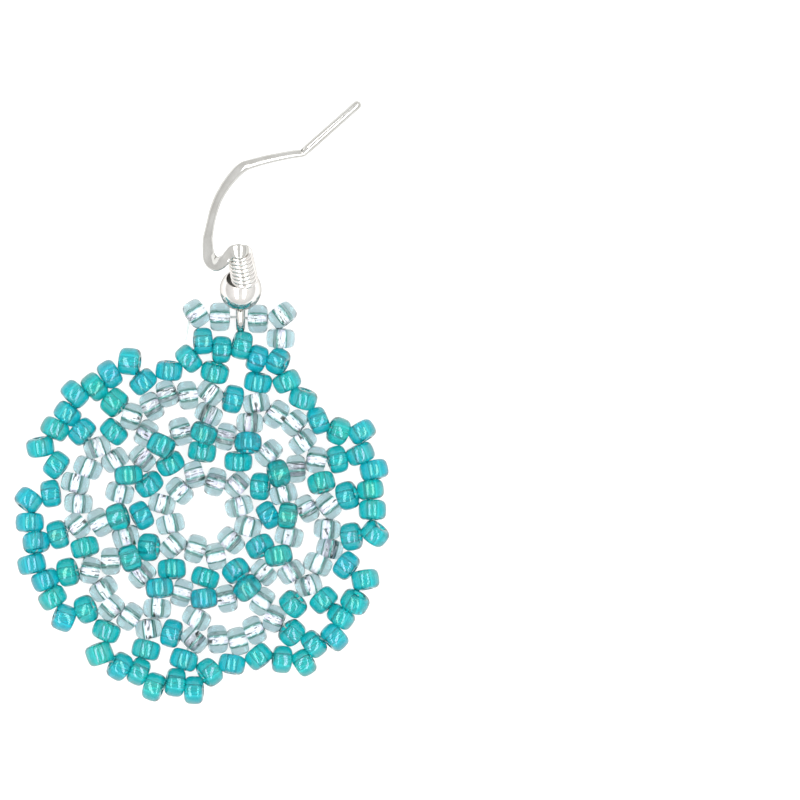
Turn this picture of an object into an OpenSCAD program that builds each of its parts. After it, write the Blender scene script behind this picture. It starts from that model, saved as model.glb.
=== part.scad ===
// Drop earring lying on a flat surface: a round net of seed beads that hangs by a beaded loop on an
// ear wire. Lengths are in millimetres. +X points right, +Y towards the ear wire, +Z up from the
// surface. The origin is on the surface, under the middle of the whole earring.

/* [Seed beads] */
// Outside diameter of a bead
bead_d = 1.88; // [1.8:0.02:1.88]
// Length of a bead along its hole
bead_l = 1.18; // [1.1:0.02:1.18]
// Diameter of the hole through a bead
hole_d = 0.8; // [0.6:0.05:0.9]
// Radius of the rounded edge at both ends of a bead
bead_edge = 0.38; // [0.3:0.02:0.4]
// Diameter of the bare thread
thread_d = 0.16; // [0.12:0.02:0.16]

/* [Net] */
// Place of the middle of the net, to the right of the origin
net_x = 0.3; // [0.28:0.01:0.32]
// Place of the middle of the net, towards the ear wire from the origin
net_y = -8.36; // [-8.38:0.01:-8.34]

/* [Ear wire] */
// Diameter of the round ear wire
wire_d = 0.66; // [0.6:0.02:0.7]
// Diameter of the straight tail that goes through the ear
tail_d = 0.58; // [0.56:0.02:0.6]
// Radius of the bottom loop, to the middle of its wire
loop_r = 1.0; // [0.95:0.05:1.05]
// Place of the middle of the bottom loop, which stands on edge
loop_x = 2.86; // [2.8:0.02:2.9]
loop_y = 6.39; // [6.36:0.01:6.42]
// Distance from the bottom loop to the middle of the ball, along +Y
ball_y = 1.85; // [1.85:0.01:1.9]
// Rise of the ball's hole from the surface, in degrees
ball_tilt = 52; // [50:1:54]
// Diameter of the ball
ball_d = 3.08; // [3.04:0.02:3.08]
// Diameter of the hole through the ball
ball_hole_d = 2.1; // [2.06:0.02:2.1]
// Diameter of the fine wire of the coil
coil_wire_d = 0.34; // [0.3:0.02:0.34]
// Rise of the coil with each turn
coil_pitch = 0.36; // [0.35:0.01:0.36]
// Number of turns of the coil
coil_turns = 7; // [5:1:7]
// Gap between the coil and the shank
coil_gap = 0.25; // [0.2:0.01:0.26]

/* [Hidden] */
teal = [0.05, 0.62, 0.62];
silver_lined = [0.78, 0.83, 0.85];
silver = [0.9, 0.9, 0.88];
nylon = [0.85, 0.9, 0.9];

// Spokes, counter-clockwise from the right: place in degrees, then radius and hole of the inner bead,
// and degrees past the place, radius, hole and lift of the outer one, which lies on top; a hole is its
// direction in degrees
SPOKES = [
    [27.5, 4.55, 176, 2, 6.15, 18, 1.2],
    [58.5, 4.7, 88, 1, 6.1, 87, 1.1],
    [93, 4.7, 80, -2, 6.05, 68, 1.25],
    [124.5, 4.6, 120, -2, 6.1, 64, 1.5],
    [151.3, 4.75, 126, 1, 6.35, 96, 1.35],
    [180.5, 4.75, 28, 0, 6.4, 18, 0.95],
    [209.3, 4.7, 177, 0.5, 6.35, 20, 1.4],
    [238, 4.7, 93, 0, 6.3, 94, 1.1],
    [269.7, 4.62, 72, -0.5, 6.1, 96, 1.1],
    [299, 4.6, 126, 1, 6.15, 130, 1.0],
    [330, 4.6, 118, 1, 6.1, 104, 1.35],
    [360, 4.62, 30, 0, 6.1, 171, 1.3]
];
// Rings, counter-clockwise from the right: place in degrees and radius of the centre ring's bead, then
// degrees past that place and radius of the middle ring's bead
RINGS = [
    [16, 2.58, -0.7, 5.92],
    [45, 3.25, 0, 6.48],
    [75, 2.56, 0.7, 5.95],
    [105.5, 3.14, 0.8, 6.38],
    [136, 2.62, 2.3, 6.25],
    [165.5, 3.28, 0.3, 6.5],
    [194, 2.68, 2, 6.02],
    [223, 3.26, -0.3, 6.36],
    [252.7, 2.62, 0, 5.95],
    [282.7, 3.08, 1, 6.27],
    [315, 2.64, 0.3, 5.96],
    [345.5, 3.2, 0.5, 6.3]
];
// Arches: place in degrees, stretch outwards, stretch round the net
ARCHES = [
    [46, 1.0, 1.0], [107.4, 0.99, 1.0], [166.2, 1.04, 0.94],
    [224.2, 1.03, 0.98], [284.2, 1.015, 1.02], [345, 1.0, 1.0]
];
// Beads of one arch: degrees from its middle, radius, hole from the arch's own direction
ARCH_BEADS = [
    [18.7, 7.5, 43], [19.3, 9.05, 53], [8.7, 9.05, 100], [0.2, 9.4, 91],
    [-8.7, 9.0, 81], [-19.2, 9.05, 125], [-18.8, 7.5, 137]
];
// Bridges: place in degrees, degrees from it to the beads at its sides, the radii of the one before
// it, of the one after it and of the inner one
BRIDGES = [
    [77.3, 9.0, 10.43, 10.52, 8.76], [137.5, 8.5, 10.65, 10.89, 9.1], [195, 7.5, 10.95, 10.98, 9.2],
    [253.8, 7.8, 10.8, 10.72, 9.03], [315.15, 9.1, 10.63, 10.7, 9.15], [375.4, 7.9, 10.52, 10.45, 8.85]
];
// Holes of a bridge's side and inner beads from its own direction
BRIDGE_HOLES = [2, 90];
// Scallops of the edge: place in degrees, stretch of the crest, radii of the beads at its two ends,
// then degrees from the place and radius of the valley and shoulder beads before it and the shoulder
// and valley beads after it
EDGES = [
    [78, 0.98, 12.42, 12.75, 27.65, 11.13, 19.45, 11.53, 18.4, 11.57, 26, 10.9],
    [137.3, 1.01, 12.5, 12.75, 22.4, 10.84, 20.9, 12.55, 20.1, 13.08, 24.3, 11.6],
    [195.5, 1.02, 12.9, 12.75, 23.6, 11.53, 20.1, 13.0, 20.3, 12.76, 22.9, 11.18],
    [253.4, 1.01, 12.75, 12.8, 24.1, 11.2, 20.7, 12.78, 18.1, 11.6, 26.2, 11.13],
    [316.6, 1.0, 12.92, 12.64, 26.1, 11.15, 18.7, 11.92, 21.2, 12.6, 23.8, 10.98],
    [375.1, 0.985, 12.2, 12.92, 23.5, 10.85, 21.4, 12.44, 17.6, 11.57, 24.85, 10.8]
];
// Degrees from the middle of a scallop to the ends of its crest, and their holes before it, mirrored
// after it
crest_turn = 13;
crest_hole = 75;
// The three middle beads of a crest: degrees from its middle, radius before the stretch, hole
CREST_BEADS = [[-6.5, 12.35, 82], [0, 12.95, 88], [6.5, 12.42, 98]];
// Holes of the valley and shoulder beads before a scallop, from its own direction; after it they are
// mirrored
valley_hole = -6;
shoulder_hole = 37;
// Beads of the hanging loop: x, y, hole; the ear wire's bottom loop is between the second and the
// third
LOOP_BEADS = [[-0.36, 6.39, 34], [1.3, 6.2, 0], [4.2, 6.06, 0], [5.88, 6.26, 128], [5.78, 4.56, 88]];

// Where the hanging loop's thread starts beside the edge, and where it goes through the ear wire's
// bottom loop
loop_start = [-1.2, 4.5, 0.9];
loop_pass = [2.86, 6.18, 1.05];
// Length of thread past each end of a bead before it turns
thread_past = 0.04;
// Drop of the middle ring's thread in its beads, to clear the outer spoke beads over it
thread_sag = 0.18;

// Middle of the ball from the bottom loop's middle, besides its distance along +Y
ball_x = 0.02;
ball_z = 1.67;
// The shank leans right from the bottom loop to the ball's hole, and left from there to its top
knee = [3.23, 9.01, 3.985];
shank_top = [2.91, 10.61, 5.6];
// Front of the ear wire from the shank's top to the bend of the tail: x, y, z, width, thickness, and x
// and y of the direction of its width
FRONT = [
    [3.05, 10.86, 5.95, 0.68, 0.62, 0, 1],
    [3.2, 11.02, 6.22, 0.7, 0.56, 0, 1],
    [3.27, 11.04, 6.48, 0.85, 0.5, 0, 1],
    [3.15, 11, 6.72, 1, 0.46, 0, 1],
    [2.9, 10.94, 6.82, 1.12, 0.44, 0, 1],
    [2.6, 10.94, 6.8, 1.05, 0.43, -0.1, 1],
    [2.35, 10.92, 6.7, 0.9, 0.43, -0.28, 0.96],
    [2.07, 10.67, 6.5, 0.78, 0.42, -0.6, 0.8],
    [1.82, 10.37, 6.3, 0.8, 0.42, -0.6, 0.8],
    [1.45, 10.12, 5.97, 0.94, 0.42, -0.3, 0.95],
    [1.08, 10.06, 5.6, 1.06, 0.42, 0.15, 1],
    [0.71, 10.38, 5.18, 1.02, 0.42, 0.7, 0.7],
    [0.55, 10.93, 4.8, 0.84, 0.44, 0.98, 0.2],
    [0.49, 11.8, 4.25, 0.74, 0.46, 1, 0],
    [0.55, 12.25, 3.95, 0.68, 0.46, 1, -0.1],
    [0.72, 13.13, 3.4, 0.62, 0.48, 0.97, -0.2],
    [0.93, 14.02, 2.9, 0.62, 0.48, 0.95, -0.3],
    [1.26, 14.91, 2.35, 0.64, 0.48, 0.9, -0.45],
    [1.76, 15.8, 1.85, 0.7, 0.46, 0.85, -0.55],
    [2.23, 16.43, 1.5, 0.74, 0.46, 0.75, -0.65],
    [2.67, 16.91, 1.22, 0.76, 0.46, 0.6, -0.8],
    [3.11, 17.25, 1.06, 0.74, 0.48, 0.4, -0.92],
    [3.54, 17.41, 0.96, 0.68, 0.52, 0.28, -1],
    [4.42, 17.67, 0.82, 0.64, 0.56, 0.25, -1],
    [5.4, 17.9, 0.7, 0.6, 0.58, 0.2, -1],
    [6.58, 18.13, 0.57, 0.57, 0.57, 0.3, -0.95],
    [7.43, 18.24, 0.5, 0.54, 0.54, 0.5, -0.87]
];
// Far end of the straight tail
tail_tip = [11.62, 21.96, 0.3];
// Rounded tip of the tail: distance from its end, part of its diameter
TAIL_TIP = [[0.22, 1.0], [0.1, 0.85], [0.03, 0.6], [0, 0.3]];
// Where the wire of the bend ends inside the tail: distance from the bend, part of the tail's diameter
TAIL_ROOT = [0.5, 0.8];
wire_sides = 12;
smooth_steps = 4;
// Length over which the front's first stretch lies round the end of the shank
shank_overlap = 0.3;
// How much thinner the shank is than the wire of the bottom loop, and its two parts than each other
shank_less = 0.04;
coil_steps = 14;
coil_sides = 6;
thread_sides = 6;

function unit(v) = v / norm(v);

// A bead as its place and the direction of its hole; without lift it lies on the surface
function bead_at(x, y, hole, lift = 0) = [[x, y, bead_d / 2 + lift], [cos(hole), sin(hole), 0]];
// A bead of the net from its degrees, radius and hole
function net_bead(turn, r, hole, lift = 0) =
    bead_at(net_x + r * cos(turn), net_y + r * sin(turn), hole, lift);
// Beads of a chart whose middle is at a place in degrees, stretched outwards and round the net
function charted(chart, turn, out, round) =
    [for (b = chart) net_bead(turn + round * b[0], out * b[1], turn + b[2])];

loop_middle = [loop_x, loop_y, loop_r + wire_d / 2];
shank = unit(knee - loop_middle);
upper_shank = unit(shank_top - knee);
ball_middle = loop_middle + [ball_x, ball_y, ball_z];

centre_beads = [for (row = RINGS) net_bead(row[0], row[1], row[0] + 90)];
middle_beads = [for (row = RINGS) net_bead(row[0] + row[2], row[3], row[0] + row[2] + 90)];
inner_beads = [for (s = SPOKES) net_bead(s[0], s[1], s[2])];
outer_beads = [for (s = SPOKES) net_bead(s[0] + s[3], s[4], s[5], s[6])];
function arch_beads(k) = charted(ARCH_BEADS, ARCHES[k][0], ARCHES[k][1], ARCHES[k][2]);
function bridge_beads(k) =
    let (row = BRIDGES[k], turn = row[0])
    [
        net_bead(turn - row[1], row[2], turn + BRIDGE_HOLES[0]),
        net_bead(turn, row[4], turn + BRIDGE_HOLES[1]),
        net_bead(turn + row[1], row[3], turn - BRIDGE_HOLES[0])
    ];
function edge_beads(k) =
    let (row = EDGES[k], turn = row[0])
    concat(
        [
            net_bead(turn - row[4], row[5], turn + valley_hole),
            net_bead(turn - row[6], row[7], turn + shoulder_hole),
            net_bead(turn - crest_turn, row[2], turn + crest_hole)
        ],
        charted(CREST_BEADS, turn, row[1], 1),
        [
            net_bead(turn + crest_turn, row[3], turn - crest_hole),
            net_bead(turn + row[8], row[9], turn - shoulder_hole),
            net_bead(turn + row[10], row[11], turn - valley_hole)
        ]
    );
loop_beads = [for (b = LOOP_BEADS) bead_at(b[0], b[1], b[2])];

// Half of a bead's section, from its hole outwards
function corner(middle, from, to) = [for (a = [from:30:to]) middle + bead_edge * [cos(a), sin(a)]];
bead_section = concat(
    [[hole_d / 2, -bead_l / 2]],
    corner([bead_d / 2 - bead_edge, bead_edge - bead_l / 2], -90, 0),
    corner([bead_d / 2 - bead_edge, bead_l / 2 - bead_edge], 0, 90),
    [[hole_d / 2, bead_l / 2]]
);

// Turns +Z of its children to a direction and moves them to a place
module placed(place, direction) {
    d = unit(direction);
    translate(place) rotate([0, acos(d[2]), atan2(d[1], d[0])]) children();
}

module beads(list) {
    for (b = list) placed(b[0], b[1]) rotate_extrude($fn = 48) polygon(bead_section);
}

module centre_ring() {
    color(silver_lined) beads(centre_beads);
}

module middle_ring() {
    color(silver_lined) beads(middle_beads);
}

module inner_spokes() {
    color(teal) beads(inner_beads);
}

module outer_spokes() {
    color(teal) beads(outer_beads);
}

module arch(k) {
    color(silver_lined) beads(arch_beads(k));
}

module bridge(k) {
    color(teal) beads(bridge_beads(k));
}

module edge(k) {
    color(teal) beads(edge_beads(k));
}

module hanging_loop() {
    color(silver_lined) beads(loop_beads);
}

module ball_bead() {
    color(silver) placed(ball_middle, [0, cos(ball_tilt), sin(ball_tilt)]) difference() {
        sphere(d = ball_d, $fn = 64);
        cylinder(h = 2 * ball_d, d = ball_hole_d, center = true, $fn = 64);
    }
}

// A tube whose rings of points are joined side to side, and the last ring to the first or both closed
module skin(rings, closed = false) {
    sides = len(rings[0]);
    n = len(rings);
    walls = [
        for (i = [0:n - (closed ? 1 : 2)], j = [0:sides - 1], half = [0, 1])
        let (next = (j + 1) % sides, a = i * sides, b = (i + 1) % n * sides)
        half == 0 ? [a + j, b + next, a + next] : [a + j, b + j, b + next]
    ];
    ends = [[for (j = [0:sides - 1]) j], [for (j = [sides - 1:-1:0]) (n - 1) * sides + j]];
    polyhedron(points = [for (r = rings, p = r) p], faces = closed ? walls : concat(walls, ends));
}

// A point between b and c on the smooth curve through a, b, c and d
function smooth(a, b, c, d, t) =
    b + 0.5 * ((c - a) * t + (2 * a - 5 * b + 4 * c - d) * t * t + (3 * b - a - 3 * c + d) * t * t * t);
function smoothed(rows) = let (n = len(rows)) concat(
    [
        for (i = [0:n - 2], s = [0:smooth_steps - 1])
        smooth(rows[max(i - 1, 0)], rows[i], rows[i + 1], rows[min(i + 2, n - 1)], s / smooth_steps)
    ],
    [rows[n - 1]]
);
function place_of(row) = [row[0], row[1], row[2]];
bend = place_of(FRONT[len(FRONT) - 1]);

// The ring of points round a place, wide towards one side and thin across it
function section_ring(place, along, side, width, thickness, sides) =
    let (across = unit(side - side * along * along), up = unit(cross(along, across)))
    [
        for (j = [0:sides - 1])
        let (a = 360 * j / sides)
        place + across * width / 2 * cos(a) + up * thickness / 2 * sin(a)
    ];

// The wire from inside the coil over the flattened front and the bend into the start of the tail
module front() {
    start = [wire_d + shank_less, wire_d + shank_less, FRONT[0][5], FRONT[0][6]];
    last = FRONT[len(FRONT) - 1];
    root = bend + TAIL_ROOT[0] * unit(tail_tip - bend);
    rows = concat(
        smoothed(concat(
            [concat(shank_top - shank_overlap * upper_shank, start), concat(shank_top, start)],
            FRONT
        )),
        [concat(root, TAIL_ROOT[1] * [tail_d, tail_d], [last[5], last[6]])]
    );
    n = len(rows);
    skin([
        for (i = [0:n - 1])
        let (
            place = place_of(rows[i]),
            along = unit(place_of(rows[min(i + 1, n - 1)]) - place_of(rows[max(i - 1, 0)]))
        )
        section_ring(place, along, [rows[i][5], rows[i][6], 0], rows[i][3], rows[i][4], wire_sides)
    ]);
}

module tail() {
    reach = norm(tail_tip - bend);
    placed(bend, tail_tip - bend) rotate_extrude($fn = 32) polygon(concat(
        [[0, 0], [tail_d / 2, 0]],
        [for (row = TAIL_TIP) [row[1] * tail_d / 2, reach - row[0]]],
        [[0, reach]]
    ));
}

module ear_hook() {
    color(silver) union() {
        translate(loop_middle) rotate([0, 90, 0])
            rotate_extrude($fn = 64) translate([loop_r, 0]) circle(d = wire_d, $fn = 32);
        placed(loop_middle + loop_r * shank, shank)
            cylinder(h = norm(knee - loop_middle) - loop_r, d = wire_d - shank_less, $fn = 32);
        placed(knee - shank_less * upper_shank, upper_shank)
            cylinder(h = norm(shank_top - knee) - shank_overlap / 2, d = wire_d - 2 * shank_less, $fn = 32);
        front();
        tail();
    }
}

module wire_coil() {
    middle_r = (wire_d + coil_wire_d) / 2 + coil_gap;
    total = coil_steps * coil_turns;
    color(silver) placed(knee, upper_shank) skin([
        for (i = [0:total])
        let (a = 360 * i / coil_steps, out = [cos(a), sin(a), 0], rise = coil_pitch * i / coil_steps)
        [
            for (j = [0:coil_sides - 1])
            let (b = -360 * j / coil_sides)
            out * (middle_r + coil_wire_d / 2 * cos(b)) + [0, 0, rise + coil_wire_d / 2 * sin(b)]
        ]
    ]);
}

// Where a thread from a place goes into and out of the beads of a string, each by its nearest end
function strung(list, from, i = 0) =
    i == len(list) ? [] :
    let (
        reach = (bead_l / 2 + thread_past) * list[i][1],
        ends = [list[i][0] - reach, list[i][0] + reach],
        first = norm(ends[0] - from) < norm(ends[1] - from) ? 0 : 1
    )
    concat([ends[first], ends[1 - first]], strung(list, ends[1 - first], i + 1));

// A thread along a path of points
module thread(path, closed = false) {
    n = len(path);
    skin([
        for (i = [0:n - 1])
        let (
            before = closed ? path[(i + n - 1) % n] : path[max(i - 1, 0)],
            after = closed ? path[(i + 1) % n] : path[min(i + 1, n - 1)],
            along = unit(after - before)
        )
        section_ring(path[i], along, cross([0, 0, 1], along), thread_d, thread_d, thread_sides)
    ], closed);
}

module beading_thread() {
    middle = [net_x, net_y, bead_d / 2];
    sagging = [for (b = middle_beads) [b[0] - [0, 0, thread_sag], b[1]]];
    left = strung([loop_beads[0], loop_beads[1]], loop_start);
    right = strung([loop_beads[2]], loop_pass);
    color(nylon) {
        thread(strung(centre_beads, centre_beads[11][0]), true);
        thread(strung(sagging, sagging[11][0]), true);
        thread(concat([loop_start], left, [loop_pass], right));
        for (b = [loop_beads[3], loop_beads[4]]) thread(strung([b], middle));
        for (b = concat(inner_beads, outer_beads)) thread(strung([b], middle));
        for (k = [0:5]) {
            arch = arch_beads(k);
            bridge = bridge_beads(k);
            next = bridge_beads((k + 5) % 6);
            edge = edge_beads(k);
            thread(strung([arch[0], arch[1], bridge[0]], middle));
            thread(strung([arch[6], arch[5], next[2]], middle));
            thread(strung([arch[2], arch[3], arch[4]], arch[1][0]));
            thread(strung([for (i = [1:6]) edge[i]], edge[0][0]));
            for (b = [bridge[1], edge[0], edge[7], edge[8]]) thread(strung([b], middle));
        }
    }
}

ear_hook();
ball_bead();
wire_coil();
hanging_loop();
centre_ring();
inner_spokes();
outer_spokes();
middle_ring();
arch(0);  // arch_1
arch(1);  // arch_2
arch(2);  // arch_3
arch(3);  // arch_4
arch(4);  // arch_5
arch(5);  // arch_6
bridge(0);  // bridge_1
bridge(1);  // bridge_2
bridge(2);  // bridge_3
bridge(3);  // bridge_4
bridge(4);  // bridge_5
bridge(5);  // bridge_6
edge(0);  // edge_1
edge(1);  // edge_2
edge(2);  // edge_3
edge(3);  // edge_4
edge(4);  // edge_5
edge(5);  // edge_6
beading_thread();
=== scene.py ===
import math
import random

import bmesh
import bpy
import numpy as np
from mathutils import Matrix, Vector


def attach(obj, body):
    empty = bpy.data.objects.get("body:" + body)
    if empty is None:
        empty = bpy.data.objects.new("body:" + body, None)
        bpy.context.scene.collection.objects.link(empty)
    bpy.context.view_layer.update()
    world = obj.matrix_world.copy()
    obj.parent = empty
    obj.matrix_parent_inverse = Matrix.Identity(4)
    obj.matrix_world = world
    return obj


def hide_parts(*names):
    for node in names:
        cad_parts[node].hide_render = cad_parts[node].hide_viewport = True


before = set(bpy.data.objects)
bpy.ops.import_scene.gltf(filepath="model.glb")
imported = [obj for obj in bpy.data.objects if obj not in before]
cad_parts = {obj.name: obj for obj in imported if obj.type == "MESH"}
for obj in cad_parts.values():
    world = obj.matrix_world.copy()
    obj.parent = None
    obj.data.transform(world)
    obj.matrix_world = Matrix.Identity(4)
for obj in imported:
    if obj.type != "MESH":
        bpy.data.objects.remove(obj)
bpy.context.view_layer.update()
mm = 0.001  # the scene is in metres, the jewellery is thought of in millimetres
print("frame loaded:", len(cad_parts), "solids")


def newMaterial(name):
    material = bpy.data.materials.new(name)
    material.use_nodes = True
    nodes = material.node_tree.nodes
    return material, nodes, material.node_tree.links, nodes["Principled BSDF"]


def mixColours(nodes, links, factor, first, second):
    mix = nodes.new("ShaderNodeMix")
    mix.data_type = "RGBA"
    links.new(factor, mix.inputs[0])
    for socket, colour in ((mix.inputs[6], first), (mix.inputs[7], second)):
        if isinstance(colour, tuple):
            socket.default_value = (*colour, 1)
        else:
            links.new(colour, socket)
    return mix.outputs[2]


def noiseAt(nodes, links, vector, scale, detail=2.0, stretch=(1, 1, 1)):
    if stretch != (1, 1, 1):
        mapping = nodes.new("ShaderNodeMapping")
        mapping.inputs["Scale"].default_value = stretch
        links.new(vector, mapping.inputs["Vector"])
        vector = mapping.outputs["Vector"]
    noise = nodes.new("ShaderNodeTexNoise")
    noise.inputs["Scale"].default_value = scale
    noise.inputs["Detail"].default_value = detail
    links.new(vector, noise.inputs["Vector"])
    return noise.outputs["Fac"]


def ramp(nodes, links, value, low, high, lowOut=0.0, highOut=1.0):
    spread = nodes.new("ShaderNodeMapRange")
    spread.inputs["From Min"].default_value = low
    spread.inputs["From Max"].default_value = high
    spread.inputs["To Min"].default_value = lowOut
    spread.inputs["To Max"].default_value = highOut
    links.new(value, spread.inputs["Value"])
    return spread.outputs["Result"]


def bumped(nodes, links, shader, height, strength, distance):
    bump = nodes.new("ShaderNodeBump")
    bump.inputs["Strength"].default_value = strength
    bump.inputs["Distance"].default_value = distance
    links.new(height, bump.inputs["Height"])
    links.new(bump.outputs["Normal"], shader.inputs["Normal"])


def beadMark(nodes, name):
    # beadPoint is a place in the bead's own frame in millimetres, moved far apart from bead to bead;
    # beadShade differs from bead to bead, beadEnd is 1 at its ends,
    # beadCorner is 1 along a square hole's corners
    mark = nodes.new("ShaderNodeAttribute")
    mark.attribute_name = name
    return mark.outputs["Vector"] if name == "beadPoint" else mark.outputs["Fac"]


def joined(nodes, links, first, second, operation="MAXIMUM"):
    both = nodes.new("ShaderNodeMath")
    both.operation = operation
    links.new(first, both.inputs[0])
    links.new(second, both.inputs[1])
    return both.outputs["Value"]


tealGlassLook = {
    # the lustre colour is painted sheen, a paler green laid over the glass in random patches
    "greener": (0.04, 0.84, 0.76), "bluer": (0.03, 0.78, 0.88), "paintedSheen": (0.30, 0.90, 0.70),
    # the rim colour is painted shade, a darker teal mixed in where the surface turns away
    "rimShade": (0.0, 0.27, 0.28), "rimShadeStart": 0.25, "rimShadeFull": 0.85, "rimShadeMost": 0.9,
    "depth": (0.01, 0.70, 0.75), "depthDensity": 1200, "gloss": 0.05, "clear": 0.88, "ior": 1.52,
    "film": (345, 410), "filmIor": 1.6, "ripple": 0.12, "rippleDepth": 0.00006,
}


def makeTealGlass(look):
    material, nodes, links, shader = newMaterial("tealGlass")
    place, shade = beadMark(nodes, "beadPoint"), beadMark(nodes, "beadShade")
    body = mixColours(nodes, links, shade, look["greener"], look["bluer"])
    # painted sheen: random paler patches in the glass colour stand for the lustre coating's sheen
    paintedSheen = ramp(nodes, links, noiseAt(nodes, links, place, 0.8, 1.0), 0.5, 0.75, 0.0, 0.6)
    glass = mixColours(nodes, links, paintedSheen, body, look["paintedSheen"])
    # painted shade: the glass colour is darkened to a deeper teal where the surface turns away
    turned = nodes.new("ShaderNodeLayerWeight")
    rimShade = ramp(nodes, links, turned.outputs["Facing"], look["rimShadeStart"], look["rimShadeFull"],
               0.0, look["rimShadeMost"])
    links.new(mixColours(nodes, links, rimShade, glass, look["rimShade"]), shader.inputs["Base Color"])
    shader.inputs["Roughness"].default_value = look["gloss"]
    shader.inputs["IOR"].default_value = look["ior"]
    shader.inputs["Transmission Weight"].default_value = look["clear"]
    # the rainbow lustre is a film fired on the glass, thicker in some places
    film = ramp(nodes, links, noiseAt(nodes, links, place, 0.6, 1.0), 0.35, 0.65, *look["film"])
    links.new(film, shader.inputs["Thin Film Thickness"])
    shader.inputs["Thin Film IOR"].default_value = look["filmIor"]
    bumped(nodes, links, shader, noiseAt(nodes, links, place, 1.4, 1.0), look["ripple"], look["rippleDepth"])
    depth = nodes.new("ShaderNodeVolumeAbsorption")
    depth.inputs["Color"].default_value = (*look["depth"], 1)
    depth.inputs["Density"].default_value = look["depthDensity"]
    links.new(depth.outputs["Volume"], nodes["Material Output"].inputs["Volume"])
    return material


clearGlassLook = {
    "tint": (0.92, 0.95, 0.97), "cloud": (0.86, 0.90, 0.97), "depth": (0.43, 0.66, 0.67),
    "depthDensity": 640, "gloss": 0.12, "ior": 1.5, "ripple": 0.25, "rippleDepth": 0.00006,
}


def makeClearGlass(look):
    material, nodes, links, shader = newMaterial("clearGlass")
    place = beadMark(nodes, "beadPoint")
    cloud = ramp(nodes, links, noiseAt(nodes, links, place, 1.1, 1.0), 0.4, 0.65)
    links.new(mixColours(nodes, links, cloud, look["tint"], look["cloud"]), shader.inputs["Base Color"])
    shader.inputs["Roughness"].default_value = look["gloss"]
    shader.inputs["IOR"].default_value = look["ior"]
    shader.inputs["Transmission Weight"].default_value = 1.0
    bumped(nodes, links, shader, noiseAt(nodes, links, place, 1.4, 2.0), look["ripple"], look["rippleDepth"])
    depth = nodes.new("ShaderNodeVolumeAbsorption")
    depth.inputs["Color"].default_value = (*look["depth"], 1)
    depth.inputs["Density"].default_value = look["depthDensity"]
    links.new(depth.outputs["Volume"], nodes["Material Output"].inputs["Volume"])
    return material


foilLook = {
    "silver": (0.95, 0.76, 0.86), "pearl": (0.92, 0.80, 0.82), "speck": (0.09, 0.09, 0.08),
    # the green edge colour is painted shade, laid along the corners of the hole
    "greenEdge": (0.07, 0.40, 0.33), "grazing": (0.25, 0.80, 0.64), "gloss": 0.3,
    "scratches": (0.57, 0.62), "chips": (0.65, 0.70),
}


def makeFoil(look):
    material, nodes, links, shader = newMaterial("silverLining")
    place = beadMark(nodes, "beadPoint")
    pearl = ramp(nodes, links, noiseAt(nodes, links, place, 1.5, 2.0), 0.4, 0.6)
    silver = mixColours(nodes, links, pearl, look["silver"], look["pearl"])
    # fine scratches run along the hole, and the lining is chipped where it ends
    grooves = noiseAt(nodes, links, place, 4.0, 3.0, (3.0, 3.0, 0.5))
    scratches = ramp(nodes, links, grooves, *look["scratches"])
    nearEnd = ramp(nodes, links, beadMark(nodes, "beadEnd"), 0.4, 0.9, 0.0, 0.13)
    chips = ramp(nodes, links, joined(nodes, links, noiseAt(nodes, links, place, 2.6, 3.0), nearEnd, "ADD"),
                 *look["chips"])
    worn = mixColours(nodes, links, joined(nodes, links, scratches, chips), silver, look["speck"])
    # painted shade: the lining turns dark green along the hole's corners, where its side walls are seen
    # edge-on through the glass
    edge = ramp(nodes, links, beadMark(nodes, "beadCorner"), 0.0, 1.0, 0.0, 0.85)
    links.new(mixColours(nodes, links, edge, worn, look["greenEdge"]), shader.inputs["Base Color"])
    shader.inputs["Metallic"].default_value = 1.0
    shader.inputs["Specular Tint"].default_value = (*look["grazing"], 1)
    shader.inputs["Roughness"].default_value = look["gloss"]
    bumped(nodes, links, shader, noiseAt(nodes, links, place, 6.0, 4.0, (1.6, 1.6, 0.6)), 0.6, 0.0001)
    return material


silverLook = {
    "pale": (0.64, 0.635, 0.61), "worn": (0.57, 0.56, 0.53),
    "edge": (0.5, 0.5, 0.48), "gloss": 0.12, "scratch": 900,
}
polishedLook = {
    "pale": (0.84, 0.82, 0.79), "worn": (0.78, 0.75, 0.72),
    "edge": (0.5, 0.5, 0.48), "gloss": 0.14, "scratch": 900,
}
# painted shade: the inside of the ball's bore gets a darker, rougher metal
boreShadeLook = {
    "pale": (0.50, 0.47, 0.43), "worn": (0.32, 0.29, 0.27),
    "edge": (0.5, 0.5, 0.48), "gloss": 0.5, "scratch": 900,
}


def makeSilver(look, name):
    material, nodes, links, shader = newMaterial(name)
    coordinates = nodes.new("ShaderNodeTexCoord").outputs["Object"]
    patches = ramp(nodes, links, noiseAt(nodes, links, coordinates, 700, 3.0), 0.42, 0.62)
    links.new(mixColours(nodes, links, patches, look["pale"], look["worn"]), shader.inputs["Base Color"])
    shader.inputs["Metallic"].default_value = 1.0
    shader.inputs["Specular Tint"].default_value = (*look["edge"], 1)
    rough = ramp(nodes, links, noiseAt(nodes, links, coordinates, look["scratch"], 4.0), 0.3, 0.7,
                 look["gloss"] * 0.7, look["gloss"] * 1.4)
    links.new(rough, shader.inputs["Roughness"])
    bumped(nodes, links, shader, noiseAt(nodes, links, coordinates, look["scratch"] * 2, 2.0), 0.12, 0.00003)
    return material


nylonLook = {"clear": (0.86, 0.90, 0.88), "milky": (0.74, 0.82, 0.80), "gloss": 0.3}


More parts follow.
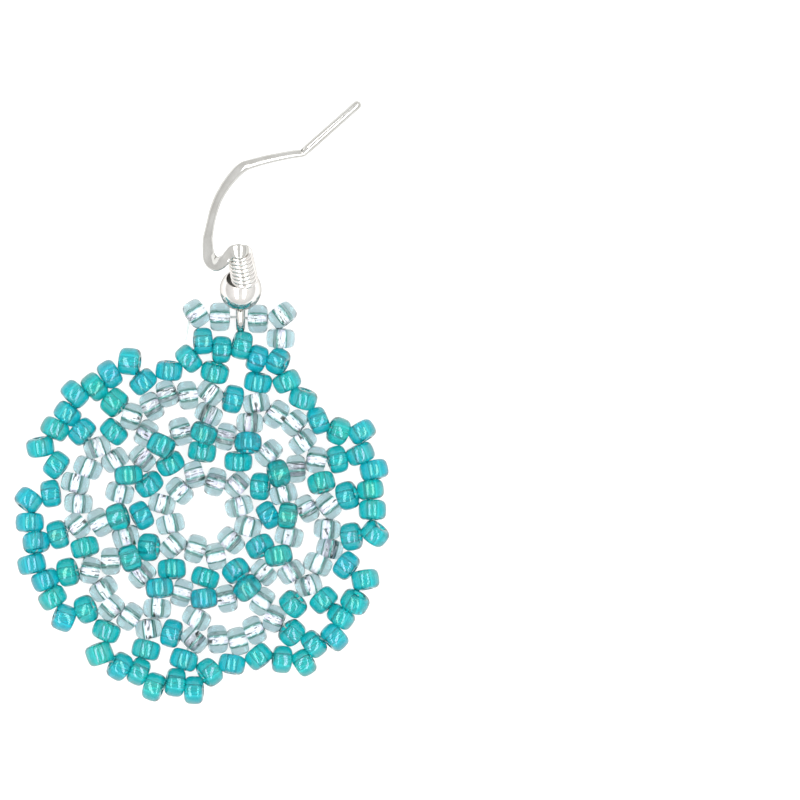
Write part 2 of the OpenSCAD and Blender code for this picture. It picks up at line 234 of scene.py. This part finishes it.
def makeNylon(look):
    material, nodes, links, shader = newMaterial("nylonThread")
    coordinates = nodes.new("ShaderNodeTexCoord").outputs["Object"]
    milk = ramp(nodes, links, noiseAt(nodes, links, coordinates, 1500, 2.0), 0.4, 0.6)
    links.new(mixColours(nodes, links, milk, look["clear"], look["milky"]), shader.inputs["Base Color"])
    shader.inputs["Roughness"].default_value = look["gloss"]
    shader.inputs["Transmission Weight"].default_value = 0.5
    return material


tealGlass = makeTealGlass(tealGlassLook)
clearGlass = makeClearGlass(clearGlassLook)
foil = makeFoil(foilLook)
silver = makeSilver(silverLook, "earWireSilver")
polished = makeSilver(polishedLook, "polishedSilver")
boreShade = makeSilver(boreShadeLook, "boreShadeInside")
nylon = makeNylon(nylonLook)
print("finishes mixed")


seedBead = {
    "radius": 1.06, "halfLength": 0.78, "edge": 0.42, "mouth": 0.1, "belly": 0.02, "sides": 40,
    "roundHole": 0.38, "squareHole": 0.31, "corner": 7, "tealLean": 8, "tippedLean": 20, "clearLean": 7,
    # how far a bead may give way to its neighbours: radius, half length, shift, and what may touch
    "leastRadius": 1.0, "leastHalf": 0.69, "shift": 0.07, "lift": 0.22, "touch": 0.05, "tries": 22,
    # and how much of what is too deep each try takes off the end, off the radius, aside and upwards
    "offEnd": 0.15, "offRadius": 0.08, "aside": 0.12, "upwards": 0.15, "nearby": 2.3,
}


def beadProfile(bead, r, h, hole):
    # from the middle of the hole out over one end, across the belly and back over the other end
    edge, mouth = bead["edge"], bead["mouth"]
    half = [(hole, 0.0), (hole, h * 0.45), (hole, h - mouth)]
    half += [(hole + mouth * (1 - math.cos(a)), h - mouth + mouth * math.sin(a))
             for a in (math.radians(30), math.radians(60), math.radians(90))]
    half += [(r - edge - bead["belly"] + edge * math.sin(a), h - edge + edge * math.cos(a))
             for a in (math.radians(d) for d in (0, 18, 36, 54, 72, 88))]
    half += [(r - bead["belly"] * 0.25, (h - edge) * 0.5), (r, 0.0)]
    return half + [(x, -y) for x, y in reversed(half[1:-1])]


def beadsOf(node):
    # each bead of a solid, as its middle and the direction of its hole
    mesh = bmesh.new()
    mesh.from_mesh(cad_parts[node].data)
    bmesh.ops.remove_doubles(mesh, verts=mesh.verts, dist=0.000002)
    seen, found = set(), []
    for start in mesh.verts:
        if start in seen:
            continue
        seen.add(start)
        island, waiting = [], [start]
        while waiting:
            vert = waiting.pop()
            island.append(vert.co.copy())
            for edge in vert.link_edges:
                other = edge.other_vert(vert)
                if other not in seen:
                    seen.add(other)
                    waiting.append(other)
        points = np.array(island)
        middle = (points.min(0) + points.max(0)) / 2
        flat = points[:, :2] - points[:, :2].mean(0)
        vectors = np.linalg.eigh(flat.T @ flat)[1]
        found.append((Vector(middle), Vector((vectors[0, 0], vectors[1, 0], 0))))
    mesh.free()
    return sorted(found, key=lambda b: (round(b[0].x, 6), round(b[0].y, 6)))


def skinPoints(bead, r, h, middle, along):
    # points over the outside of one bead
    across = np.array((-along[1], along[0], 0.0))
    across /= np.linalg.norm(across)
    up = np.cross(along, across)
    points = []
    for d in range(0, 91, 15):
        out = r - bead["edge"] + bead["edge"] * math.sin(math.radians(d))
        end = h - bead["edge"] + bead["edge"] * math.cos(math.radians(d))
        for a in range(0, 360, 15):
            spoke = out * (math.cos(math.radians(a)) * across + math.sin(math.radians(a)) * up)
            points += [middle + spoke + end * along, middle + spoke - end * along]
    return np.array(points)


def depthIn(points, bead, r, h, middle, along):
    # how far the deepest of the points is inside a bead, and whether it came in at the bead's end
    local = points - middle
    axial = local @ along
    radial = np.linalg.norm(local - np.outer(axial, along), axis=1)
    a, b = radial - (r - bead["edge"]), np.abs(axial) - (h - bead["edge"])
    outside = np.hypot(np.maximum(a, 0), np.maximum(b, 0)) + np.minimum(np.maximum(a, b), 0) - bead["edge"]
    deepest = outside.argmin()
    return -outside[deepest], b[deepest] > a[deepest]


def fitBeads(bead, strung):
    # each bead starts at full size and gives way where it presses into a neighbour; the tries run out
    # before a few pairs are down to the touch that is allowed
    starts = np.array([b["middle"] for b in strung]) / mm
    alongs = np.array([b["along"] for b in strung])
    radii = np.full(len(strung), bead["radius"])
    halves = np.full(len(strung), bead["halfLength"])
    moved = np.zeros((len(strung), 3))
    pairs = [(i, j) for i in range(len(strung)) for j in range(i)
             if np.linalg.norm(starts[i] - starts[j]) < bead["nearby"] * bead["radius"]]
    flat, steep = np.sqrt(1 - alongs[:, 2] ** 2), np.abs(alongs[:, 2])
    for tryNumber in range(bead["tries"]):
        onTable = (radii - bead["edge"]) * flat + (halves - bead["edge"]) * steep + bead["edge"]
        middles = starts + moved
        middles[:, 2] = np.maximum(middles[:, 2], onTable)
        skins = [skinPoints(bead, radii[i], halves[i], middles[i], alongs[i]) for i in range(len(strung))]
        for i, j in pairs:
            first, endFirst = depthIn(skins[i], bead, radii[j], halves[j], middles[j], alongs[j])
            second, endSecond = depthIn(skins[j], bead, radii[i], halves[i], middles[i], alongs[i])
            depth = max(first, second)
            if depth <= bead["touch"]:
                continue
            for k, atEnd in ((j, endFirst), (i, endSecond)):
                if atEnd:
                    halves[k] = max(bead["leastHalf"], halves[k] - bead["offEnd"] * depth)
                else:
                    radii[k] = max(bead["leastRadius"], radii[k] - bead["offRadius"] * depth)
            away = (middles[i] - middles[j]) * (1, 1, 0)
            away *= bead["aside"] * depth / np.linalg.norm(away)
            moved[i, :2] = np.clip(moved[i, :2] + away[:2], -bead["shift"], bead["shift"])
            moved[j, :2] = np.clip(moved[j, :2] - away[:2], -bead["shift"], bead["shift"])
            upper = i if middles[i][2] >= middles[j][2] else j
            moved[upper, 2] = min(bead["lift"], moved[upper, 2] + bead["upwards"] * depth)
    for k, b in enumerate(strung):
        b["middle"], b["radius"], b["halfLength"] = Vector(middles[k]) * mm, radii[k], halves[k]


def addBead(mesh, bead, one, marks):
    hole = bead["squareHole"] if one["lined"] else bead["roundHole"]
    profile = beadProfile(bead, one["radius"], one["halfLength"], hole)
    turn = Vector(one["along"]).to_track_quat("Z", "Y").to_matrix().to_4x4()
    turn = turn @ Matrix.Rotation(one["roll"], 4, "Z")
    place = Matrix.Translation(one["middle"]) @ turn
    rings = []
    for i in range(bead["sides"]):
        a = 2 * math.pi * (i + 0.5) / bead["sides"]
        # the hole of a silver-lined bead is pressed square, its mouths and the outside are round
        power = bead["corner"]
        out = (abs(math.cos(a)) ** power + abs(math.sin(a)) ** power) ** (-1 / power) if one["lined"] else 1
        ring = []
        for r, z in profile:
            near = max(0, min(1, (hole + bead["mouth"] - r) / bead["mouth"]))
            reach = r * (1 + (out - 1) * near)
            local = Vector((reach * math.cos(a), reach * math.sin(a), z))
            vert = mesh.verts.new(place @ (local * mm))
            vert[marks["beadPoint"]] = local + one["apart"]
            vert[marks["beadShade"]] = one["shade"]
            vert[marks["beadEnd"]] = abs(z) / one["halfLength"]
            vert[marks["beadCorner"]] = max(0, (abs(math.sin(2 * a)) - 0.85) / 0.15) if one["lined"] else 0
            ring.append(vert)
        rings.append(ring)
    wall = 3  # profile steps each side of the middle that are the wall of the hole
    count = len(profile)
    for i, ring in enumerate(rings):
        after = rings[(i + 1) % len(rings)]
        for j in range(count):
            k = (j + 1) % count
            face = mesh.faces.new((ring[j], ring[k], after[k], after[j]))
            inside = j < wall - 1 or j >= count - (wall - 1)
            face.smooth = not (inside and one["lined"])
            face.material_index = 1 if inside else 0


def makeBeads(node, bead, strung, materials):
    mesh = bmesh.new()
    marks = {"beadPoint": mesh.verts.layers.float_vector.new("beadPoint")}
    for name in ("beadShade", "beadEnd", "beadCorner"):
        mesh.verts.layers.float.new(name)
    for name in ("beadShade", "beadEnd", "beadCorner"):
        marks[name] = mesh.verts.layers.float[name]
    for one in strung:
        if one["node"] == node:
            addBead(mesh, bead, one, marks)
    bmesh.ops.recalc_face_normals(mesh, faces=mesh.faces)
    data = bpy.data.meshes.new(node + "Beads")
    mesh.to_mesh(data)
    mesh.free()
    for material in materials:
        data.materials.append(material)
    piece = bpy.data.objects.new(node + "Beads", data)
    bpy.context.scene.collection.objects.link(piece)
    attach(piece, "root")
    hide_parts(node)
    return piece


tealNodes = ["inner_spokes", "outer_spokes"]
tealNodes += [f"bridge_{k}" for k in range(1, 7)] + [f"edge_{k}" for k in range(1, 7)]
silverLinedNodes = ["hanging_loop", "centre_ring", "middle_ring"] + [f"arch_{k}" for k in range(1, 7)]
strung = []
for node in tealNodes + silverLinedNodes:
    for i, (middle, along) in enumerate(beadsOf(node)):
        chance = random.Random(f"{node} {i}")
        lined = node in silverLinedNodes
        most = seedBead["clearLean"] if lined else seedBead["tealLean"]
        if not lined and chance.random() < 0.3:
            most = seedBead["tippedLean"]
        lean = math.sin(math.radians(most * chance.choice((-1, 1)) * chance.uniform(0.3, 1)))
        roll = math.radians(chance.gauss(0, 12))
        along = Vector((along.x, along.y, lean)).normalized() * chance.choice((-1, 1))
        apart = Vector([chance.uniform(-90, 90) for axis in "xyz"])
        strung.append({"node": node, "middle": middle, "along": along, "apart": apart, "roll": roll,
                       "shade": chance.random(), "lined": lined})
fitBeads(seedBead, strung)
for node in tealNodes:
    makeBeads(node, seedBead, strung, [tealGlass, tealGlass])
for node in silverLinedNodes:
    makeBeads(node, seedBead, strung, [clearGlass, foil])
print("seed beads strung")


earWire = {
    "wire": 0.66, "shank": 0.60, "tail": 0.61, "sides": 32, "steps": 8,
    "loopRadius": 1.0, "loopMiddle": (2.86, 6.39, 1.33), "knee": (3.23, 9.01, 3.985),
    "shankTop": (2.91, 10.61, 5.6), "tailTip": (11.62, 21.96, 0.3),
    # x, y, z, width, thickness and x and y of the direction of the width, over the flattened front
    "front": [
        (3.05, 10.86, 5.95, 0.68, 0.62, 0.00, 1.00), (3.20, 11.02, 6.22, 0.70, 0.56, 0.00, 1.00),
        (3.27, 11.04, 6.48, 0.78, 0.50, 0.00, 1.00), (3.17, 11.00, 6.70, 0.86, 0.46, 0.05, 1.00),
        (2.90, 10.94, 6.82, 1.12, 0.44, 0.00, 1.00), (2.60, 10.94, 6.80, 1.05, 0.43, -0.10, 1.00),
        (2.35, 10.92, 6.70, 0.90, 0.43, -0.28, 0.96), (2.07, 10.67, 6.50, 0.78, 0.42, -0.60, 0.80),
        (1.82, 10.37, 6.30, 0.80, 0.42, -0.60, 0.80), (1.45, 10.12, 5.97, 0.94, 0.42, -0.30, 0.95),
        (1.08, 10.06, 5.60, 1.06, 0.42, 0.15, 1.00), (0.71, 10.38, 5.18, 1.02, 0.42, 0.70, 0.70),
        (0.55, 10.93, 4.80, 0.84, 0.44, 0.98, 0.20), (0.49, 11.80, 4.25, 0.74, 0.46, 1.00, 0.00),
        (0.55, 12.25, 3.95, 0.68, 0.46, 1.00, -0.10), (0.72, 13.13, 3.40, 0.62, 0.48, 0.97, -0.20),
        (0.93, 14.02, 2.90, 0.62, 0.48, 0.95, -0.30), (1.26, 14.91, 2.35, 0.64, 0.48, 0.90, -0.45),
        (1.76, 15.80, 1.85, 0.70, 0.46, 0.85, -0.55), (2.23, 16.43, 1.50, 0.74, 0.46, 0.75, -0.65),
        (2.67, 16.91, 1.22, 0.76, 0.46, 0.60, -0.80), (3.11, 17.25, 1.06, 0.74, 0.48, 0.40, -0.92),
        (3.54, 17.41, 0.96, 0.68, 0.52, 0.28, -1.00), (4.42, 17.67, 0.82, 0.64, 0.56, 0.25, -1.00),
        (5.40, 17.90, 0.70, 0.60, 0.58, 0.20, -1.00), (6.58, 18.13, 0.57, 0.57, 0.57, 0.30, -0.95),
        (7.43, 18.24, 0.50, 0.54, 0.54, 0.50, -0.87),
    ],
    # part of the straight tail's length, part of its thickness
    "tailParts": [
        (0.1, 1.0), (0.5, 1.0), (0.94, 1.0), (0.965, 0.95), (0.98, 0.82), (0.992, 0.58), (1.0, 0.2),
    ],
    "square": 3.4,  # how square the section of the flattest stretch is, 2 being an oval
    # the front is twisted between these y, rolled by so much of its width at each
    "twist": [(11.0, 0.0), (13.1, 0.0), (14.0, 0.3), (15.8, 0.55), (16.9, 0.45), (17.6, 0.0)],
}
loopMiddle, knee, shankTop = (Vector(earWire[name]) for name in ("loopMiddle", "knee", "shankTop"))


def wireRow(point, width, thickness, side):
    return np.array((*point, width, thickness, *side))


def smoothPath(rows, steps):
    # points of a smooth curve through the rows, a few steps to each
    path = []
    for i in range(len(rows) - 1):
        a, b, c, d = rows[max(i - 1, 0)], rows[i], rows[i + 1], rows[min(i + 2, len(rows) - 1)]
        for s in range(steps):
            t = s / steps
            path.append(0.5 * (2 * b + (c - a) * t + (2 * a - 5 * b + 4 * c - d) * t * t
                               + (3 * b - a - 3 * c + d) * t ** 3))
    return path + [rows[-1]]


def squared(value, power):
    return math.copysign(abs(value) ** (2 / power), value)


def sweep(mesh, rows, sides, square=2.0, closed=False):
    # a skin along rows of x, y, z, width, thickness and the direction of the width
    rings = []
    count = len(rows)
    for i, row in enumerate(rows):
        before = rows[(i - 1) % count] if closed else rows[max(i - 1, 0)]
        after = rows[(i + 1) % count] if closed else rows[min(i + 1, count - 1)]
        along = Vector(after[:3] - before[:3]).normalized()
        side = Vector(row[5:8])
        across = (side - along * side.dot(along)).normalized()
        up = along.cross(across)
        power = 2 + (square - 2) * min(1, max(0, row[3] / row[4] - 1))
        ring = []
        for j in range(sides):
            a = 2 * math.pi * j / sides
            wide, high = squared(math.cos(a), power) * row[3] / 2, squared(math.sin(a), power) * row[4] / 2
            ring.append(mesh.verts.new((Vector(row[:3]) + across * wide + up * high) * mm))
        rings.append(ring)
    pairs = list(zip(rings, rings[1:] + rings[:1])) if closed else list(zip(rings, rings[1:]))
    for ring, after in pairs:
        for j in range(sides):
            k = (j + 1) % sides
            mesh.faces.new((ring[j], ring[k], after[k], after[j])).smooth = True
    if not closed:
        for ring in (rings[0], rings[-1]):
            mesh.faces.new(ring).smooth = True


def finishPiece(mesh, name, materials, nodes):
    bmesh.ops.recalc_face_normals(mesh, faces=mesh.faces)
    data = bpy.data.meshes.new(name)
    mesh.to_mesh(data)
    mesh.free()
    for material in materials:
        data.materials.append(material)
    piece = bpy.data.objects.new(name, data)
    bpy.context.scene.collection.objects.link(piece)
    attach(piece, "root")
    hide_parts(*nodes)
    return piece


def makeEarWire(wire):
    mesh = bmesh.new()
    sideways = (-1, 0, 0)
    loop = []
    for i in range(64):
        a = 2 * math.pi * i / 64
        point = loopMiddle + Vector((0, math.cos(a), math.sin(a))) * wire["loopRadius"]
        loop.append(wireRow(point, wire["wire"], wire["wire"], sideways))
    sweep(mesh, loop, wire["sides"], closed=True)
    foot = loopMiddle + (knee - loopMiddle).normalized() * wire["loopRadius"]
    upright = [wireRow(point, wire["shank"], wire["shank"], sideways) for point in (foot, knee, shankTop)]
    places, rolls = zip(*wire["twist"])
    front = [wireRow(row[:3], row[3], row[4], (row[5], row[6], np.interp(row[1], places, rolls)))
             for row in wire["front"]]
    tip, bend, last = Vector(wire["tailTip"]), Vector(wire["front"][-1][:3]), front[-1][5:8]
    tail = [wireRow(bend + (tip - bend) * part, wire["tail"] * thick, wire["tail"] * thick, last)
            for part, thick in wire["tailParts"]]
    rows = smoothPath(upright + front, wire["steps"]) + tail
    sweep(mesh, rows, wire["sides"], wire["square"])
    return finishPiece(mesh, "earWire", [silver], ["ear_hook"])


ball = {"radius": 1.54, "bore": 1.02, "middle": (2.89, 8.20, 3.0), "tilt": 42, "round": 72, "rows": 40,
        "lip": 0.05}


def makeBall(ball):
    # a turned profile: the outside from lip to lip, then back through the bore
    mesh = bmesh.new()
    r, bore = ball["radius"], ball["bore"]
    lip = math.asin(bore / r) + ball["lip"]
    profile = [(r * math.sin(a), r * math.cos(a))
               for a in (lip + (math.pi - 2 * lip) * i / ball["rows"] for i in range(ball["rows"] + 1))]
    end = r * math.cos(lip) - 0.5 * ball["lip"]
    profile += [(bore + 0.012, -end), (bore, -end + 0.05), (bore, 0), (bore, end - 0.05), (bore + 0.012, end)]
    tilt = math.radians(ball["tilt"])
    turn = Vector((0, math.cos(tilt), math.sin(tilt))).to_track_quat("Z", "Y").to_matrix().to_4x4()
    place = Matrix.Translation(Vector(ball["middle"]) * mm) @ turn
    rings = []
    for i in range(ball["round"]):
        a = 2 * math.pi * i / ball["round"]
        rings.append([mesh.verts.new(place @ (Vector((x * math.cos(a), x * math.sin(a), z)) * mm))
                      for x, z in profile])
    for ring, after in zip(rings, rings[1:] + rings[:1]):
        for j in range(len(profile)):
            k = (j + 1) % len(profile)
            face = mesh.faces.new((ring[j], ring[k], after[k], after[j]))
            face.smooth = True
            # the faces of the bore take the darker metal, painted shade
            face.material_index = 1 if ball["rows"] < j < len(profile) - 1 else 0
    return finishPiece(mesh, "silverBall", [polished, boreShade], ["ball_bead"])


coil = {
    "wire": 0.375, "pitch": 0.385, "turns": 7.5, "start": -0.15, "middle": 0.755,
    "footMiddle": 0.82, "footAside": -0.06, "steps": 40, "sides": 12,
}


def makeCoil(coil):
    # fine wire wound round the shank from its knee up
    mesh = bmesh.new()
    along = (shankTop - knee).normalized()
    across = along.cross(Vector((0, 0, 1))).normalized()
    up = across.cross(along).normalized()
    rows = []
    count = int(coil["steps"] * coil["turns"])
    for i in range(count + 1):
        a = 2 * math.pi * i / coil["steps"]
        rise = coil["start"] + coil["pitch"] * i / coil["steps"]
        low = 1 - i / count  # the coil is a little wider at its foot
        wide = coil["middle"] + (coil["footMiddle"] - coil["middle"]) * low
        point = knee + along * rise + (across * math.cos(a) + up * math.sin(a)) * wide
        point.x += coil["footAside"] * low
        rows.append(wireRow(point, coil["wire"], coil["wire"], along))
    sweep(mesh, rows, coil["sides"])
    return finishPiece(mesh, "wireCoil", [polished], ["wire_coil"])


makeEarWire(earWire)
makeBall(ball)
makeCoil(coil)
print("ear wire bent")


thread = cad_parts["beading_thread"]
thread.data.materials.clear()
thread.data.materials.append(nylon)
print("thread drawn through")


table = {"half": 1.5, "white": (0.25, 0.25, 0.25), "grain": (0.24, 0.24, 0.24), "glow": 0.88}


def makeTable(table):
    half = table["half"]
    data = bpy.data.meshes.new("table")
    corners = [(-half, -half, 0), (half, -half, 0), (half, half, 0), (-half, half, 0)]
    data.from_pydata(corners, [], [(0, 1, 2, 3)])
    material, nodes, links, shader = newMaterial("whiteTable")
    coordinates = nodes.new("ShaderNodeTexCoord").outputs["Object"]
    grain = ramp(nodes, links, noiseAt(nodes, links, coordinates, 300, 2.0), 0.3, 0.7)
    links.new(mixColours(nodes, links, grain, table["white"], table["grain"]), shader.inputs["Base Color"])
    shader.inputs["Roughness"].default_value = 0.9
    shader.inputs["Emission Color"].default_value = (1, 1, 1, 1)
    shader.inputs["Emission Strength"].default_value = table["glow"]
    data.materials.append(material)
    floor = bpy.data.objects.new("table", data)
    bpy.context.scene.collection.objects.link(floor)


softLight = {"horizon": 0.75, "middle": 1.0, "zenith": 0.90, "brightness": 1.0, "stripHeight": 0.5,
             "stripAside": 0.225, "stripBelow": 0.15, "stripWidth": 0.14, "stripLength": 1.0,
             "stripWatts": 2.6}


def makeLight(light):
    world = bpy.data.worlds.new("lightTent")
    bpy.context.scene.world = world
    world.use_nodes = True
    nodes, links = world.node_tree.nodes, world.node_tree.links
    direction = nodes.new("ShaderNodeTexCoord").outputs["Generated"]
    split = nodes.new("ShaderNodeSeparateXYZ")
    links.new(direction, split.inputs[0])
    tent = nodes.new("ShaderNodeValToRGB")
    stops = tent.color_ramp.elements
    stops[0].color = (*[light["horizon"]] * 3, 1)
    stops[1].color = (*[light["zenith"]] * 3, 1)
    stops.new(0.55).color = (*[light["middle"]] * 3, 1)
    links.new(split.outputs["Z"], tent.inputs["Fac"])
    links.new(tent.outputs["Color"], nodes["Background"].inputs["Color"])
    nodes["Background"].inputs["Strength"].default_value = light["brightness"]
    for side in (-1, 1):
        lamp = bpy.data.lights.new("strip", "AREA")
        lamp.shape = "RECTANGLE"
        lamp.size = light["stripWidth"]
        lamp.size_y = light["stripLength"]
        lamp.energy = light["stripWatts"]
        strip = bpy.data.objects.new("strip", lamp)
        strip.location = (side * light["stripAside"], -light["stripBelow"], light["stripHeight"])
        strip.rotation_euler = (0, math.atan2(side * light["stripAside"], light["stripHeight"]), 0)
        bpy.context.scene.collection.objects.link(strip)


view = {"overX": 14.57, "overY": 0.10, "height": 900, "frameWidth": 58.82, "sensor": 36}


def makeCamera(view):
    data = bpy.data.cameras.new("fromAbove")
    data.sensor_width = view["sensor"]
    data.lens = view["sensor"] * view["height"] / view["frameWidth"]
    data.clip_start, data.clip_end = 0.01, 10
    camera = bpy.data.objects.new("fromAbove", data)
    camera.location = (view["overX"] * mm, view["overY"] * mm, view["height"] * mm)
    bpy.context.scene.collection.objects.link(camera)
    bpy.context.scene.camera = camera


makeTable(table)
makeLight(softLight)
makeCamera(view)
bpy.context.scene.view_settings.view_transform = "Standard"
print("table, light and camera set")
